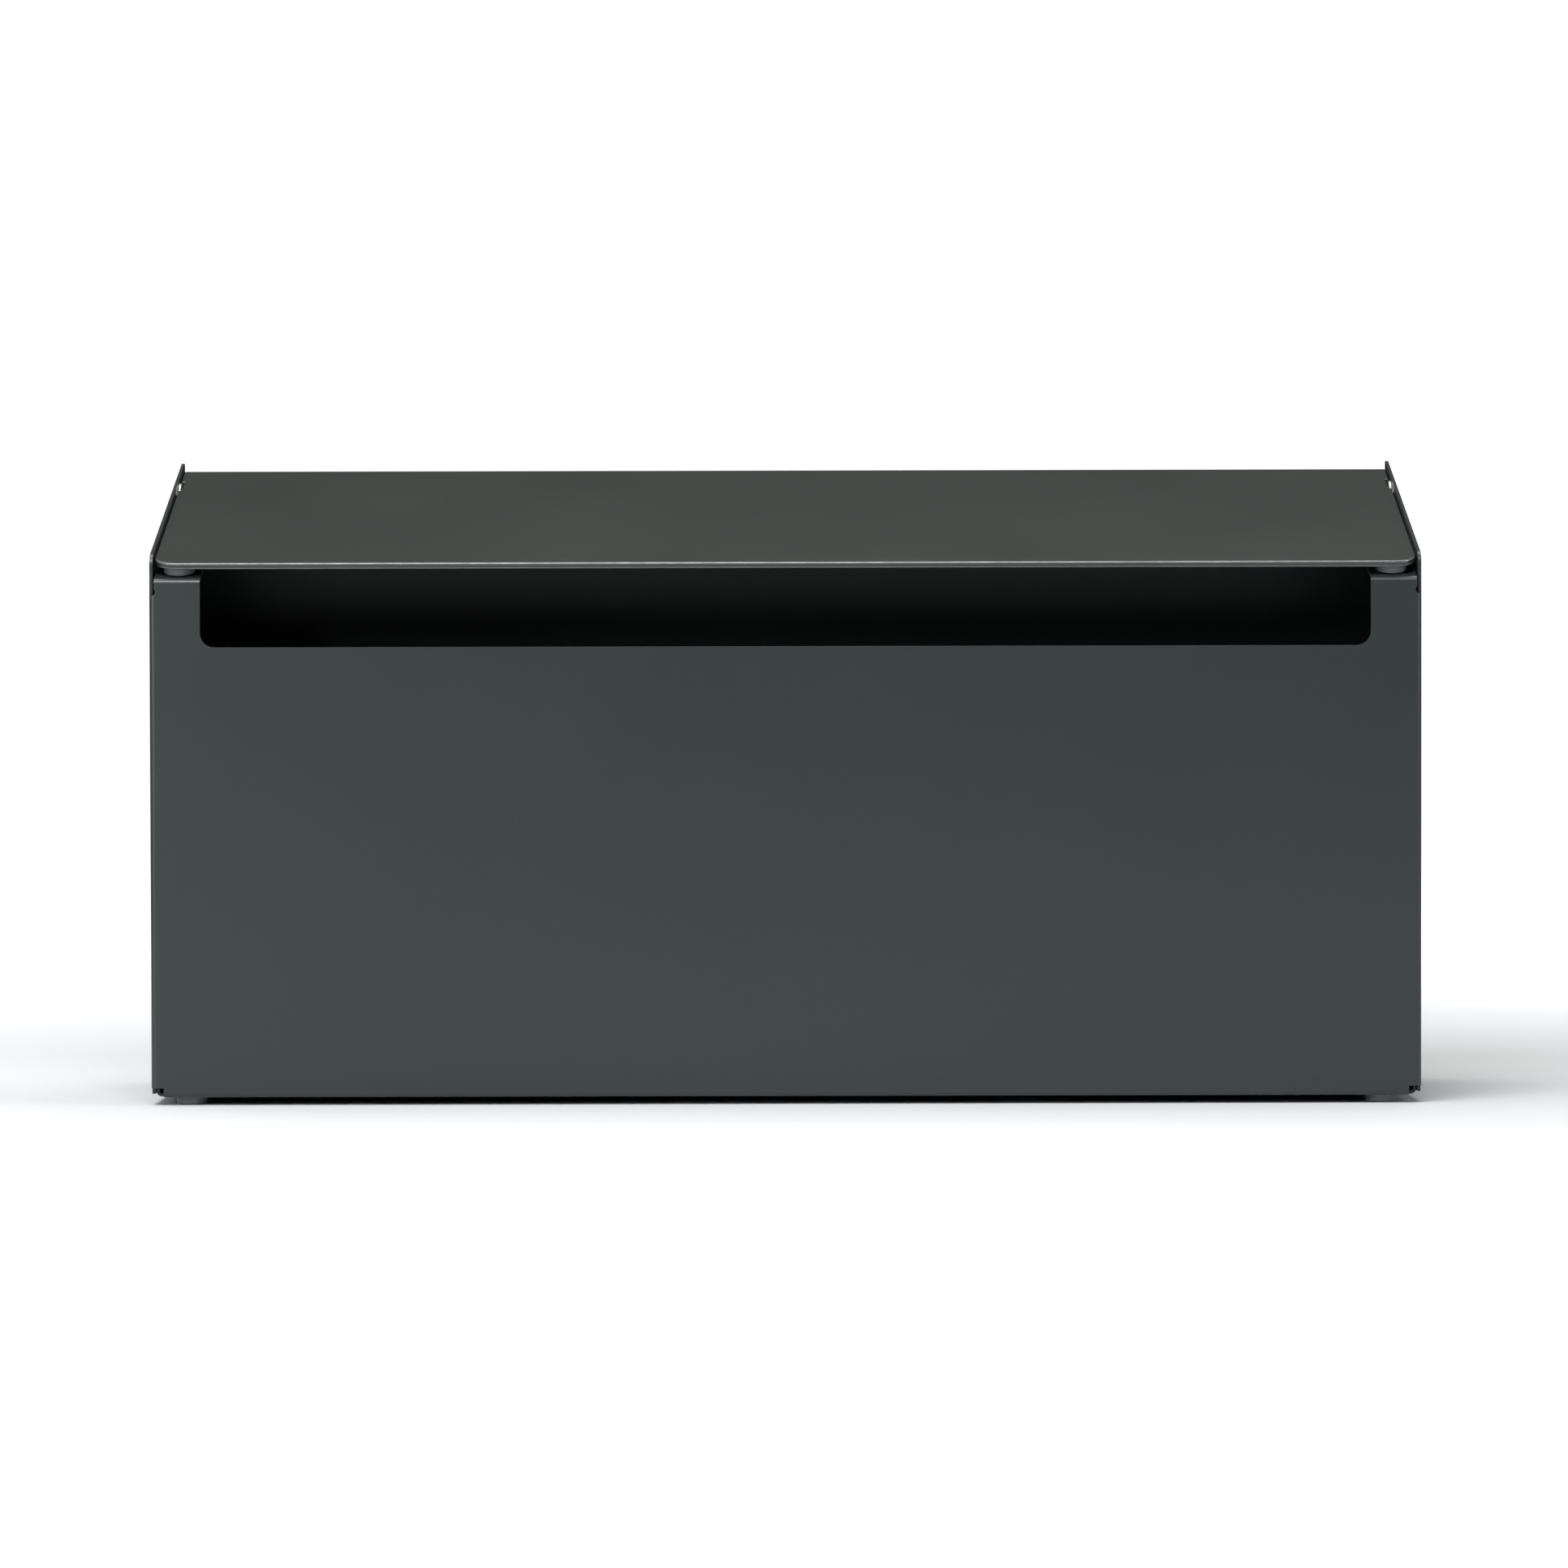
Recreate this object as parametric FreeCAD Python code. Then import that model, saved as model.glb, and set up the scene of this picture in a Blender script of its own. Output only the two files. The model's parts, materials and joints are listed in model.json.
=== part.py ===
"""Lift-lid drop box of folded sheet steel: one STEP file for each piece.

Millimetres, +Z up, front towards -Y, +X to the right of someone facing the box. The origin is
the middle of the footprint, on the surface that the rubber feet stand on.

The shell is one folded blank: front, two sides that rise as cheeks beside the lid, and bottom.
A flanged back panel closes it. The lid is a flat plate that slopes down to the front. Two lugs
under it turn on shoulder pins in the cheeks, and two rubber bumpers carry its front corners on
the folded ears beside the posting slot.
"""
import FreeCAD
import Part

import math
import os

# Driving dimensions
WIDTH = 400.0                # across the outer faces of the two sides
DEPTH = 108.0                # front face to wall face
BODY_HEIGHT = 168.0          # bottom face of the shell to the lid's front top edge
LID_SLOPE = 17.03            # degrees, falling towards the front

# Folded steel sheet
SHEET = 1.0
BEND_RADIUS = 0.8            # inside radius of every fold
FOLD_GAP = 0.1               # between a turned flange and the panel it is riveted to
RELIEF_WIDTH = 4.0           # cut out of the blank where two folds meet
RELIEF_HEIGHT = 3.0
FLANGE_WIDTH = 12.0
FLANGE_SETBACK = 6.0         # between the end of the bottom flange and the next fold

# Posting slot and the two ears beside it
EAR_WIDTH = 16.0             # slot edge to the side's outer face
EAR_SIDE_GAP = 0.5           # slit between an ear and the cheek
EAR_FLANGE = 13.0            # top flange of the ear, measured along the slope
EAR_SEAM_DROP = 8.8          # lid's front top edge down to where the ears part from the sides
EAR_RELIEF_RADIUS = 1.2
SLOT_DROP = 26.3             # lid's front top edge down to the slot's lower edge
SLOT_CORNER_RADIUS = 4.5

# Cheeks
CHEEK_RISE = 1.8             # above the lid's top face
CHEEK_FRONT_RADIUS = 4.0
CHEEK_BACK_RADIUS = 1.0

# Lid
LID_THICKNESS = 2.0
LID_SIDE_GAP = 0.35          # lid edge to cheek
LID_FRONT_RADIUS = 5.0
LID_BACK_RADIUS = 1.0
LID_EDGE_RADIUS = 0.8
LID_SWING_GAP = 0.4          # lid's rear edge to the back panel as it swings past

# Hinge
PIVOT_FROM_BACK = 20.0       # wall face to the pivot
PIVOT_DROP = 4.7             # below the lid's top face, square to it
PIN_RADIUS = 2.0
PIN_HEAD_RADIUS = 4.0
PIN_HEAD_THICKNESS = 0.8
TENON_RADIUS = 1.5
UPSET_RADIUS = 2.5           # end of the tenon, hammered over the lug
UPSET_THICKNESS = 0.7
RUNNING_CLEARANCE = 0.05
WASHER_RADIUS = 5.5
WASHER_THICKNESS = 1.0
WASHER_BORE_CLEARANCE = 0.15
NOTCH_SIDE_GAP = 0.3         # notch in the lid's edge to the washer's face
NOTCH_END_GAP = 0.5          # notch in the lid's edge to the washer's rim
LUG_THICKNESS = 1.5
LUG_MARGIN = 5.5             # lug metal beyond the pivot's centre
LUG_LENGTH = 34.0            # pivot to the lug's front end
LUG_FRONT_DEPTH = 5.0
LUG_NOSE_RADIUS = 2.0
LUG_FOOT_WIDTH = 14.0
LUG_FOOT_BACK = 10.0         # pivot to the rear end of the lug's foot

# Rubber bumpers and feet
BUMPER_RADIUS = 5.0
BUMPER_HEIGHT = 2.5
BUMPER_GAP = 0.25            # lid bumper to ear with the lid closed
BUMPER_FROM_SIDE = 9.1
BUMPER_FROM_FRONT = 5.7      # along the slope
FOOT_RADIUS = 5.0
FOOT_HEIGHT = 2.5
FOOT_FROM_SIDE = 12.0
FOOT_FROM_EDGE = 10.0        # front or wall face to the foot's centre
RUBBER_EDGE_RADIUS = 0.5

# Back panel and its wall holes
BACK_TOP_DROP = 3.2          # below the lid's top face, carried on to the wall
WALL_HOLE_RADIUS = 3.0
WALL_HOLE_SPACING_X = 300.0
WALL_HOLE_SPACING_Z = 140.0
WALL_HOLE_HEIGHT = 108.0     # standing surface to the middle of the pattern

# Blind rivets, all alike
RIVET_RADIUS = 1.6
RIVET_HEAD_RADIUS = 3.2
RIVET_HEAD_HEIGHT = 0.9
RIVET_BULB_RADIUS = 2.3
RIVET_BULB_LENGTH = 2.2
RIVET_CLEARANCE = 0.05
RIVET_ROW = 3                # rivets along each riveted flange
SIDE_ROW_LOW = 30.0          # lowest and highest rivet of the upright rows
SIDE_ROW_HIGH = 150.0
BACK_ROW_HALF = 120.0        # middle to the outermost rivet of the row across the bottom

# Worked out from the sizes above
FRONT = -DEPTH / 2
BACK = DEPTH / 2
SIDE = WIDTH / 2
SLOPE = math.radians(LID_SLOPE)
FOLD_RADIUS = BEND_RADIUS + SHEET
BOTTOM = FOOT_HEIGHT
FLOOR_TOP = BOTTOM + SHEET
LID_FRONT_TOP = BOTTOM + BODY_HEIGHT
EAR_SEAM = LID_FRONT_TOP - EAR_SEAM_DROP
CHEEK_INSIDE = SIDE - SHEET
EAR_SIDE = CHEEK_INSIDE - EAR_SIDE_GAP
SLOT_HALF = SIDE - EAR_WIDTH
SLOT_BOTTOM = LID_FRONT_TOP - SLOT_DROP
BOTTOM_HALF = SIDE - RELIEF_WIDTH
FLANGE_FACE = CHEEK_INSIDE - FOLD_GAP
LID_HALF = CHEEK_INSIDE - LID_SIDE_GAP
WASHER_INSIDE = CHEEK_INSIDE - RUNNING_CLEARANCE - WASHER_THICKNESS
LUG_FACE = WASHER_INSIDE - RUNNING_CLEARANCE
PIVOT_Y = BACK - PIVOT_FROM_BACK
PIVOT_RUN = (PIVOT_Y - FRONT - PIVOT_DROP * math.sin(SLOPE)) / math.cos(SLOPE)
PIVOT_Z = LID_FRONT_TOP + PIVOT_RUN * math.sin(SLOPE) - PIVOT_DROP * math.cos(SLOPE)
SWING_RADIUS = PIVOT_FROM_BACK - SHEET - LID_SWING_GAP
LID_LENGTH = PIVOT_RUN + math.sqrt(SWING_RADIUS ** 2 - PIVOT_DROP ** 2)
STACK = 2 * SHEET + FOLD_GAP
ORIGIN = FreeCAD.Vector(0, 0, 0)
X_AXIS = FreeCAD.Vector(1, 0, 0)
Y_AXIS = FreeCAD.Vector(0, 1, 0)
Z_AXIS = FreeCAD.Vector(0, 0, 1)


# Shapes that several pieces use

def outline(corners):
    """Closed wire through (point, radius) corners, each one rounded by its radius."""
    bends = []
    for index, (point, radius) in enumerate(corners):
        to_last = (corners[index - 1][0] - point).normalize()
        to_next = (corners[(index + 1) % len(corners)][0] - point).normalize()
        if radius == 0:
            bends.append((point, None, point))
            continue
        half = to_last.getAngle(to_next) / 2
        back_off = radius / math.tan(half)
        middle = point + (to_last + to_next).normalize() * (radius / math.sin(half) - radius)
        bends.append((point + to_last * back_off, middle, point + to_next * back_off))
    edges = []
    for index, (first, middle, last) in enumerate(bends):
        if middle is not None:
            edges.append(Part.Arc(first, middle, last).toShape())
        following = bends[(index + 1) % len(bends)][0]
        edges.append(Part.LineSegment(last, following).toShape())
    return Part.Wire(edges)


def prism_x(corners, x_from, x_to):
    """Outline of (y, z, radius) corners, pulled along X."""
    points = [(FreeCAD.Vector(x_from, y, z), radius) for y, z, radius in corners]
    return Part.Face(outline(points)).extrude(X_AXIS * (x_to - x_from))


def prism_y(corners, y_from, y_to):
    """Outline of (x, z, radius) corners, pulled along Y."""
    points = [(FreeCAD.Vector(x, y_from, z), radius) for x, z, radius in corners]
    return Part.Face(outline(points)).extrude(Y_AXIS * (y_to - y_from))


def prism_z(corners, z_from, z_to):
    """Outline of (x, y, radius) corners, pulled along Z."""
    points = [(FreeCAD.Vector(x, y, z_from), radius) for x, y, radius in corners]
    return Part.Face(outline(points)).extrude(Z_AXIS * (z_to - z_from))


def rod(radius, start, end):
    """Cylinder from one point to another."""
    return Part.makeCylinder(radius, (end - start).Length, start, end - start)


def pivot_rod(radius, x_from, x_to):
    """Cylinder on the lid's pivot axis."""
    start = FreeCAD.Vector(x_from, PIVOT_Y, PIVOT_Z)
    return rod(radius, start, start + X_AXIS * (x_to - x_from))


def joined(first, *others):
    return first.fuse(others).removeSplitter()


def other_side(shape):
    """The same piece for the left side of the box."""
    return shape.mirror(ORIGIN, X_AXIS)


def on_lid(shape):
    """Puts a shape in place that was drawn on a flat lid: Y up the slope, Z = 0 its top face."""
    placed = shape.copy()
    placed.rotate(ORIGIN, X_AXIS, LID_SLOPE)
    placed.translate(FreeCAD.Vector(0, FRONT, LID_FRONT_TOP))
    return placed


def lid_plane(y, drop):
    """Height at y of the plane that lies parallel to the lid's top face, drop below it."""
    return LID_FRONT_TOP + (y - FRONT) * math.tan(SLOPE) - drop / math.cos(SLOPE)


def hanging_disc(radius, height, top):
    """Rubber disc that hangs from the point top, its lower rim rounded."""
    disc = Part.makeCylinder(radius, height, top - Z_AXIS * height)
    lower_rim = [edge for edge in disc.Edges if edge.BoundBox.ZMax < top.z - height / 2]
    return disc.makeFillet(RUBBER_EDGE_RADIUS, lower_rim)


# Folded sheet

def folded_u(face_x, panel_y, open_y, z_from, z_to):
    """Panel across the box, folded at both ends into walls that run to open_y."""
    inner_x = face_x - SHEET
    inner_y = panel_y + math.copysign(SHEET, open_y - panel_y)
    right = [(face_x, panel_y, FOLD_RADIUS), (face_x, open_y, 0)]
    right += [(inner_x, open_y, 0), (inner_x, inner_y, BEND_RADIUS)]
    left = [(-x, y, radius) for x, y, radius in reversed(right)]
    return prism_z(right + left, z_from, z_to)


def folded_foot(panel_y, reach_y, z_low, z_high, half_width):
    """Upright strip of a panel that folds at its lower edge into a floor as far as reach_y."""
    inner_y = panel_y + math.copysign(SHEET, reach_y - panel_y)
    corners = [(panel_y, z_high, 0), (panel_y, z_low, FOLD_RADIUS), (reach_y, z_low, 0)]
    corners += [(reach_y, z_low + SHEET, 0), (inner_y, z_low + SHEET, BEND_RADIUS)]
    corners += [(inner_y, z_high, 0)]
    return prism_x(corners, -half_width, half_width)


def side_view():
    """What stays of the folded front and sides, seen from the side."""
    fold_end = FRONT + FOLD_RADIUS
    relief_end = FRONT + RELIEF_WIDTH
    relief_top = BOTTOM + RELIEF_HEIGHT
    corners = [(FRONT - 1, relief_top, 0), (relief_end, relief_top, 0)]
    corners += [(relief_end, FLOOR_TOP, 0), (BACK, FLOOR_TOP, 0)]
    corners += [(BACK, lid_plane(BACK, 0) + CHEEK_RISE, CHEEK_BACK_RADIUS)]
    corners += [(fold_end, lid_plane(fold_end, 0) + CHEEK_RISE, CHEEK_FRONT_RADIUS)]
    corners += [(fold_end, EAR_SEAM, 0), (FRONT - 1, EAR_SEAM, 0)]
    return corners


def front_ear():
    """Right-hand ear: the strip beside the slot, its top folded back parallel to the lid."""
    top_drop = LID_THICKNESS + BUMPER_HEIGHT + BUMPER_GAP
    under_drop = top_drop + SHEET
    inner_y = FRONT + SHEET
    end_y = FRONT + EAR_FLANGE * math.cos(SLOPE)
    under_y = end_y + SHEET * math.sin(SLOPE)
    corners = [(FRONT, EAR_SEAM, 0), (FRONT, lid_plane(FRONT, top_drop), FOLD_RADIUS)]
    corners += [(end_y, lid_plane(end_y, top_drop), 0)]
    corners += [(under_y, lid_plane(under_y, under_drop), 0)]
    corners += [(inner_y, lid_plane(inner_y, under_drop), BEND_RADIUS), (inner_y, EAR_SEAM, 0)]
    return prism_x(corners, SLOT_HALF, EAR_SIDE)


def bottom_flange():
    """Right-hand edge of the floor, folded up inside the side."""
    inner_x = FLANGE_FACE - SHEET
    root_x = BOTTOM_HALF - FOLD_RADIUS
    top = BOTTOM + FLANGE_WIDTH
    corners = [(root_x, BOTTOM, 0), (FLANGE_FACE, BOTTOM, FOLD_RADIUS), (FLANGE_FACE, top, 0)]
    corners += [(inner_x, top, 0), (inner_x, FLOOR_TOP, BEND_RADIUS), (root_x, FLOOR_TOP, 0)]
    return prism_y(corners, *bottom_flange_span())


def bottom_flange_span():
    """Front and rear end of the bottom flange, clear of the front fold and the back flange."""
    return FRONT + FLANGE_SETBACK, BACK - FLANGE_WIDTH - FLANGE_SETBACK


def posting_slot():
    """Cutter for the slot, open at the top between the ears."""
    corners = [(-SLOT_HALF, SLOT_BOTTOM, SLOT_CORNER_RADIUS)]
    corners += [(SLOT_HALF, SLOT_BOTTOM, SLOT_CORNER_RADIUS)]
    corners += [(SLOT_HALF, LID_FRONT_TOP, 0), (-SLOT_HALF, LID_FRONT_TOP, 0)]
    return prism_y(corners, FRONT - 1, FRONT + 2 * SHEET)


def ear_relief():
    """Cutter for the round relief at the foot of the slit beside the right-hand ear."""
    centre = FreeCAD.Vector((EAR_SIDE + SIDE) / 2, FRONT - 1, EAR_SEAM)
    return rod(EAR_RELIEF_RADIUS, centre, centre + Y_AXIS * (1 + FOLD_RADIUS))


def body_shell():
    walls = folded_u(SIDE, FRONT, BACK, BOTTOM, lid_plane(BACK, 0) + CHEEK_RISE)
    walls = walls.common(prism_x(side_view(), -SIDE, SIDE))
    floor = folded_foot(FRONT, BACK, BOTTOM, BOTTOM + RELIEF_HEIGHT, BOTTOM_HALF)
    ear = front_ear()
    flange = bottom_flange()
    shell = joined(walls, floor, ear, other_side(ear), flange, other_side(flange))
    shell = shell.cut(posting_slot())
    shell = shell.cut([ear_relief(), other_side(ear_relief())])
    shell = shell.cut(pivot_rod(PIN_RADIUS + RUNNING_CLEARANCE, -SIDE, SIDE))
    return shell.cut(rivet_holes())


def back_panel():
    low = FLOOR_TOP + FOLD_GAP
    flange_top = PIVOT_Z - SWING_RADIUS - LID_SWING_GAP
    top = lid_plane(BACK, 0) - BACK_TOP_DROP
    foot_half = FLANGE_FACE - RELIEF_WIDTH
    flanged = folded_u(FLANGE_FACE, BACK, BACK - FLANGE_WIDTH, low + RELIEF_HEIGHT, flange_top)
    foot = folded_foot(BACK, BACK - FLANGE_WIDTH, low, low + RELIEF_HEIGHT, foot_half)
    size = (2 * FLANGE_FACE, SHEET, top - flange_top)
    upper = Part.makeBox(*size, FreeCAD.Vector(-FLANGE_FACE, BACK - SHEET, flange_top))
    panel = joined(flanged, foot, upper)
    holes = []
    for x in (-WALL_HOLE_SPACING_X / 2, WALL_HOLE_SPACING_X / 2):
        for z in (-WALL_HOLE_SPACING_Z / 2, WALL_HOLE_SPACING_Z / 2):
            start = FreeCAD.Vector(x, BACK + 1, WALL_HOLE_HEIGHT + z)
            holes.append(rod(WALL_HOLE_RADIUS, start, start - Y_AXIS * (SHEET + 2)))
    return panel.cut(holes).cut(rivet_holes())


# Rivets

def rivet_sites():
    """(point on the outer face, outward direction) of every rivet."""
    flange_start, flange_end = bottom_flange_span()
    sites = []
    for index in range(RIVET_ROW):
        share = index / (RIVET_ROW - 1)
        height = SIDE_ROW_LOW + share * (SIDE_ROW_HIGH - SIDE_ROW_LOW)
        along = (0.15 + 0.7 * share) * (flange_end - flange_start)
        across = (2 * share - 1) * BACK_ROW_HALF
        for hand in (-1, 1):
            outwards = X_AXIS * hand
            upright = FreeCAD.Vector(hand * SIDE, BACK - FLANGE_WIDTH / 2, height)
            level = FreeCAD.Vector(hand * SIDE, flange_start + along, BOTTOM + FLANGE_WIDTH / 2)
            sites += [(upright, outwards), (level, outwards)]
        sites.append((FreeCAD.Vector(across, BACK - FLANGE_WIDTH / 2, BOTTOM), -Z_AXIS))
    return sites


def rivet_holes():
    """Cutters through both sheets at every rivet."""
    radius = RIVET_RADIUS + RIVET_CLEARANCE
    return [rod(radius, point + out, point - out * (STACK + 1)) for point, out in rivet_sites()]


def rivet(point, outwards):
    """Blind rivet: a low domed head outside, a shank through the stack and a bulb inside."""
    rim = FreeCAD.Vector(RIVET_HEAD_RADIUS, 0, 0)
    crown = FreeCAD.Vector(0, 0, RIVET_HEAD_HEIGHT)
    dome = (RIVET_HEAD_RADIUS ** 2 + RIVET_HEAD_HEIGHT ** 2) / (2 * RIVET_HEAD_HEIGHT)
    lean = math.asin(RIVET_HEAD_RADIUS / dome) / 2
    centre = crown - Z_AXIS * dome
    middle = centre + FreeCAD.Vector(dome * math.sin(lean), 0, dome * math.cos(lean))
    edges = [Part.LineSegment(ORIGIN, rim).toShape(), Part.Arc(rim, middle, crown).toShape()]
    edges += [Part.LineSegment(crown, ORIGIN).toShape()]
    head = Part.Face(Part.Wire(edges)).revolve(ORIGIN, Z_AXIS, 360)
    shank = rod(RIVET_RADIUS, ORIGIN, Z_AXIS * -STACK)
    bulb = rod(RIVET_BULB_RADIUS, Z_AXIS * -STACK, Z_AXIS * -(STACK + RIVET_BULB_LENGTH))
    whole = joined(head, shank, bulb)
    whole.Placement = FreeCAD.Placement(point, FreeCAD.Rotation(Z_AXIS, outwards))
    return whole


def panel_rivets():
    return Part.makeCompound([rivet(point, outwards) for point, outwards in rivet_sites()])


# Lid and hinge

def lid_plate():
    corners = [(-LID_HALF, 0, LID_FRONT_RADIUS), (LID_HALF, 0, LID_FRONT_RADIUS)]
    corners += [(LID_HALF, LID_LENGTH, LID_BACK_RADIUS), (-LID_HALF, LID_LENGTH, LID_BACK_RADIUS)]
    plate = prism_z(corners, -LID_THICKNESS, 0)
    rims = [edge for edge in plate.Edges if edge.BoundBox.ZLength < LID_THICKNESS / 2]
    plate = plate.makeFillet(LID_EDGE_RADIUS, rims)
    depth = PIVOT_DROP - LID_THICKNESS
    reach = math.sqrt(WASHER_RADIUS ** 2 - depth ** 2) + NOTCH_END_GAP
    notch_x = WASHER_INSIDE - NOTCH_SIDE_GAP
    size = (SIDE - notch_x, 2 * reach, 2 * LID_THICKNESS)
    corner = FreeCAD.Vector(notch_x, PIVOT_RUN - reach, -1.5 * LID_THICKNESS)
    notch = Part.makeBox(*size, corner)
    return on_lid(plate.cut([notch, other_side(notch)]))


def hinge_lug():
    """Right-hand angle piece under the lid: an upright lug with a foot folded inwards."""
    top = -LID_THICKNESS
    nose = PIVOT_RUN - LUG_LENGTH
    foot_end = PIVOT_RUN - LUG_FOOT_BACK
    heel = PIVOT_RUN + LUG_MARGIN
    low = -PIVOT_DROP - LUG_MARGIN
    inner_x = LUG_FACE - LUG_THICKNESS
    tip_x = LUG_FACE - LUG_FOOT_WIDTH
    side = [(nose, top, 0), (nose, top - LUG_FRONT_DEPTH, LUG_NOSE_RADIUS)]
    side += [(foot_end, low, LUG_NOSE_RADIUS), (heel, low, LUG_MARGIN - 0.1), (heel, top, 0)]
    upright = prism_x(side, inner_x, LUG_FACE)
    whole = prism_x(side, tip_x, LUG_FACE)
    angle = [(LUG_FACE, top, BEND_RADIUS + LUG_THICKNESS), (LUG_FACE, low, 0), (inner_x, low, 0)]
    angle += [(inner_x, top - LUG_THICKNESS, BEND_RADIUS), (tip_x, top - LUG_THICKNESS, 0)]
    angle += [(tip_x, top, 0)]
    foot_zone = Part.makeBox(2 * SIDE, foot_end, 2 * SIDE, FreeCAD.Vector(0, 0, -SIDE))
    folded = prism_y(angle, nose, foot_end).common(whole)
    lug = on_lid(joined(folded, upright.cut(foot_zone)))
    return lug.cut(pivot_rod(TENON_RADIUS + RUNNING_CLEARANCE, tip_x, SIDE))


def pivot_pin():
    """Right-hand shoulder pin: head outside the cheek, tenon riveted over inside the lug."""
    lug_inside = LUG_FACE - LUG_THICKNESS
    head_x = SIDE + RUNNING_CLEARANCE
    head = pivot_rod(PIN_HEAD_RADIUS, head_x, head_x + PIN_HEAD_THICKNESS)
    rim = [edge for edge in head.Edges if edge.BoundBox.XMin > head_x + PIN_HEAD_THICKNESS / 2]
    head = head.makeFillet(PIN_HEAD_THICKNESS / 2, rim)
    shank = pivot_rod(PIN_RADIUS, LUG_FACE, head_x)
    tenon = pivot_rod(TENON_RADIUS, lug_inside, LUG_FACE)
    upset = pivot_rod(UPSET_RADIUS, lug_inside - UPSET_THICKNESS, lug_inside)
    return joined(head, shank, tenon, upset)


def pivot_washer():
    """Right-hand steel washer between the cheek and the lug."""
    outside = WASHER_INSIDE + WASHER_THICKNESS
    disc = pivot_rod(WASHER_RADIUS, WASHER_INSIDE, outside)
    return disc.cut(pivot_rod(PIN_RADIUS + WASHER_BORE_CLEARANCE, WASHER_INSIDE, outside))


# Rubber

def lid_bumper():
    """Right-hand bumper, stuck under the lid's front corner."""
    top = FreeCAD.Vector(SIDE - BUMPER_FROM_SIDE, BUMPER_FROM_FRONT, -LID_THICKNESS)
    return on_lid(hanging_disc(BUMPER_RADIUS, BUMPER_HEIGHT, top))


def foot(y):
    """Right-hand foot, stuck under the floor."""
    return hanging_disc(FOOT_RADIUS, FOOT_HEIGHT, FreeCAD.Vector(SIDE - FOOT_FROM_SIDE, y, BOTTOM))


def pieces():
    """Every piece by the name of its node."""
    named = {"body_shell": body_shell(), "back_panel": back_panel(), "lid_plate": lid_plate()}
    named["panel_rivets"] = panel_rivets()
    paired = {"hinge_lug": hinge_lug(), "pivot_pin": pivot_pin(), "pivot_washer": pivot_washer()}
    paired["lid_bumper"] = lid_bumper()
    paired["foot_front"] = foot(FRONT + FOOT_FROM_EDGE)
    paired["foot_rear"] = foot(BACK - FOOT_FROM_EDGE)
    for name, shape in paired.items():
        named[name + "_right"] = shape
        named[name + "_left"] = other_side(shape)
    return named


os.makedirs("parts", exist_ok=True)
for name, shape in pieces().items():
    shape.exportStep(f"parts/{name}.step")
    print(f"{name}: {len(shape.Solids)} solid(s), {shape.Volume / 1000:.2f} cm3")
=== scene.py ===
# %% [markdown]
# # A drop box of folded sheet steel
# The box is one folded blank of 1 mm steel, a flanged back panel and a 2 mm lid plate, all
# powder coated in dark anthracite. Everything is measured in metres, and the design file says
# where each part sits, so the frame is loaded first and nothing in it is moved.

# %% Load the frame
import json
import math

import bmesh
import bpy
from mathutils import Matrix, Vector


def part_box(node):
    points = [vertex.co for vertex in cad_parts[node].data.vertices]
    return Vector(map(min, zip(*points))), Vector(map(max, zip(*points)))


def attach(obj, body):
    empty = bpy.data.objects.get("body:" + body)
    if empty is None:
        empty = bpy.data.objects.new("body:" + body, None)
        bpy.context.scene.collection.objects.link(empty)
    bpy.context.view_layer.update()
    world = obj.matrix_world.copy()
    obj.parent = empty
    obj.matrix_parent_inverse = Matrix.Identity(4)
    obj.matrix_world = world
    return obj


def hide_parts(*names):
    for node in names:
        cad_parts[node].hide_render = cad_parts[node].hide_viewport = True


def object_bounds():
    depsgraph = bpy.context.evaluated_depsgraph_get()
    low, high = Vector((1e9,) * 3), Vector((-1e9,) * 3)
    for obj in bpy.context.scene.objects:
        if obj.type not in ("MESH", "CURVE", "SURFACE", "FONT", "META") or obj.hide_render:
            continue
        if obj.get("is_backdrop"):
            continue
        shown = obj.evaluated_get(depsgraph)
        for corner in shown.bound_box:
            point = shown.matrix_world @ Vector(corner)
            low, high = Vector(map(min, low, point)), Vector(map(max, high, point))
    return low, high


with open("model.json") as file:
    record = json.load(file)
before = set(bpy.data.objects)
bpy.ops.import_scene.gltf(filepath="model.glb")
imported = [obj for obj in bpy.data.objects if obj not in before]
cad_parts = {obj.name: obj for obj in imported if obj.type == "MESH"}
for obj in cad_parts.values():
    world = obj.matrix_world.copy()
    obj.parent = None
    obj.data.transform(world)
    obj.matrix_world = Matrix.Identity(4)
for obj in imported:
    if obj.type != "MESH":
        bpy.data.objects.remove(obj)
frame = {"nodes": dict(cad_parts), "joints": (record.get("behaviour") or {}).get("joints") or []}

MM = 0.001
cad_low, cad_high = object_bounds()
nodes = frame["nodes"]
print("design box, mm:", [round((b - a) / MM, 2) for a, b in zip(cad_low, cad_high)])

# %% [markdown]
# # The camera
# A long lens far in front of the box keeps its sides almost parallel, as catalogues like it; a
# short lens close by would draw the lid much narrower at the back than at the front. The camera
# stands a little over two thirds of the way up the box, so it looks at the front squarely and at
# the sloping lid from in front. A tiny roll stands for a tripod that was not quite level.

# %% Place the camera
CAMERA_SENSOR = 36.0                 # width in mm
CAMERA_LENS = 139.45                 # focal length in mm
CAMERA_ASIDE = -0.55 * MM
CAMERA_AHEAD = 1909 * MM             # in front of the box's front face
CAMERA_HEIGHT = 146.6 * MM
CAMERA_PITCH = math.radians(1.371)
CAMERA_ROLL = math.radians(-0.13)
NEAREST_SEEN = 0.05
FARTHEST_SEEN = 60.0

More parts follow.
